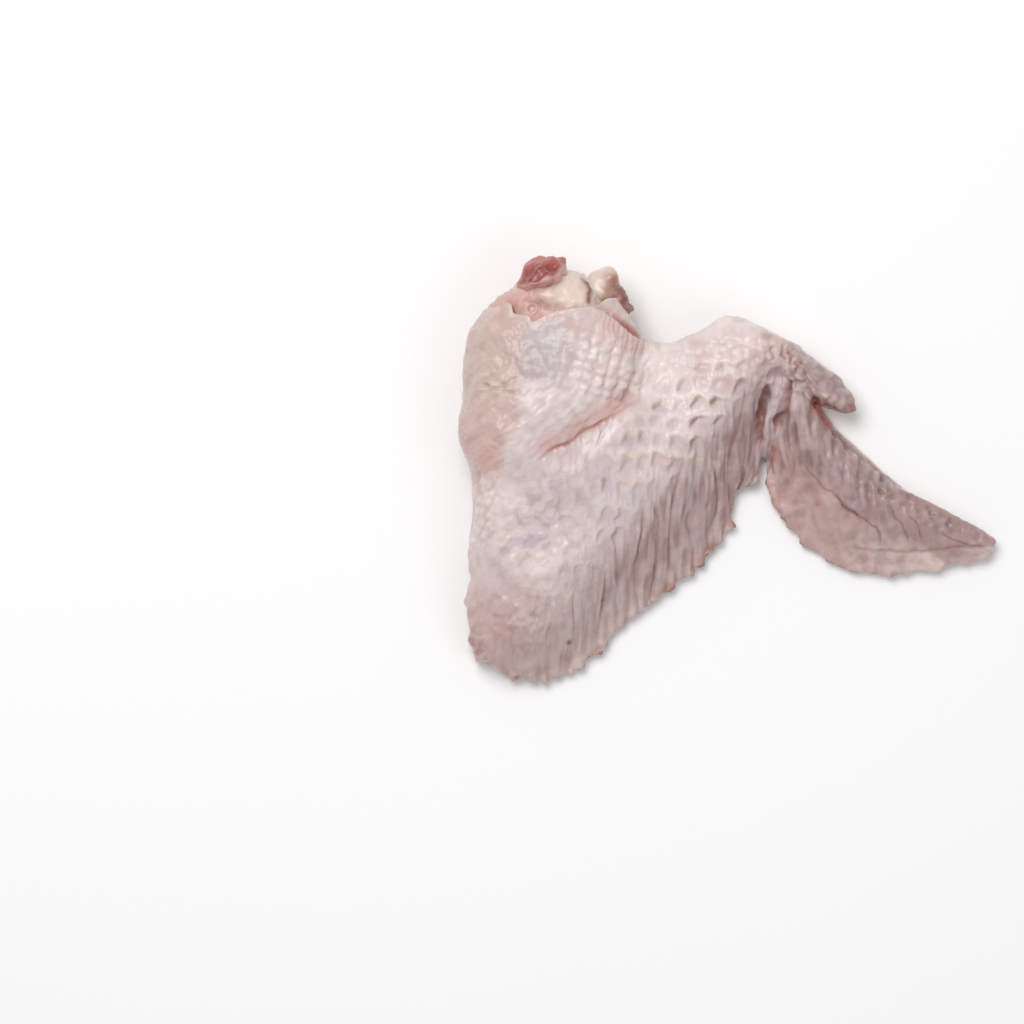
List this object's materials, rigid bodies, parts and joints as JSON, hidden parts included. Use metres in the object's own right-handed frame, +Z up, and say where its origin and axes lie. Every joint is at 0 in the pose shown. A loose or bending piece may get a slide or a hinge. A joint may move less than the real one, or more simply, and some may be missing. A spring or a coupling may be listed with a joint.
{
  "type": "raw chicken wing",
  "caption": "Whole raw chicken wing lying skin side up: upper wing with its cut end, flat with a web and flap of skin, and pointed hand.",
  "frame": {"origin": "on the surface the wing lies on, under the centre of its bounding box", "axes": "+X along the length from the elbow towards the tip of the hand, +Y from the elbow towards the shoulder cut, +Z up out of the feathered side of the skin"},
  "size_m": [0.1274, 0.0998, 0.027],
  "materials": {
    "skin": "moist raw poultry skin, soft low gloss",
    "meat": "moist pale pink raw meat with yellowish fat",
    "red_muscle": "moist dark red raw muscle",
    "bone": "moist cream cartilage over bone"
  },
  "bodies": {
    "root": {"skin": "skin", "meat": "meat", "red_muscle": "red_muscle", "humerus": "bone"}
  },
  "joints": []
}
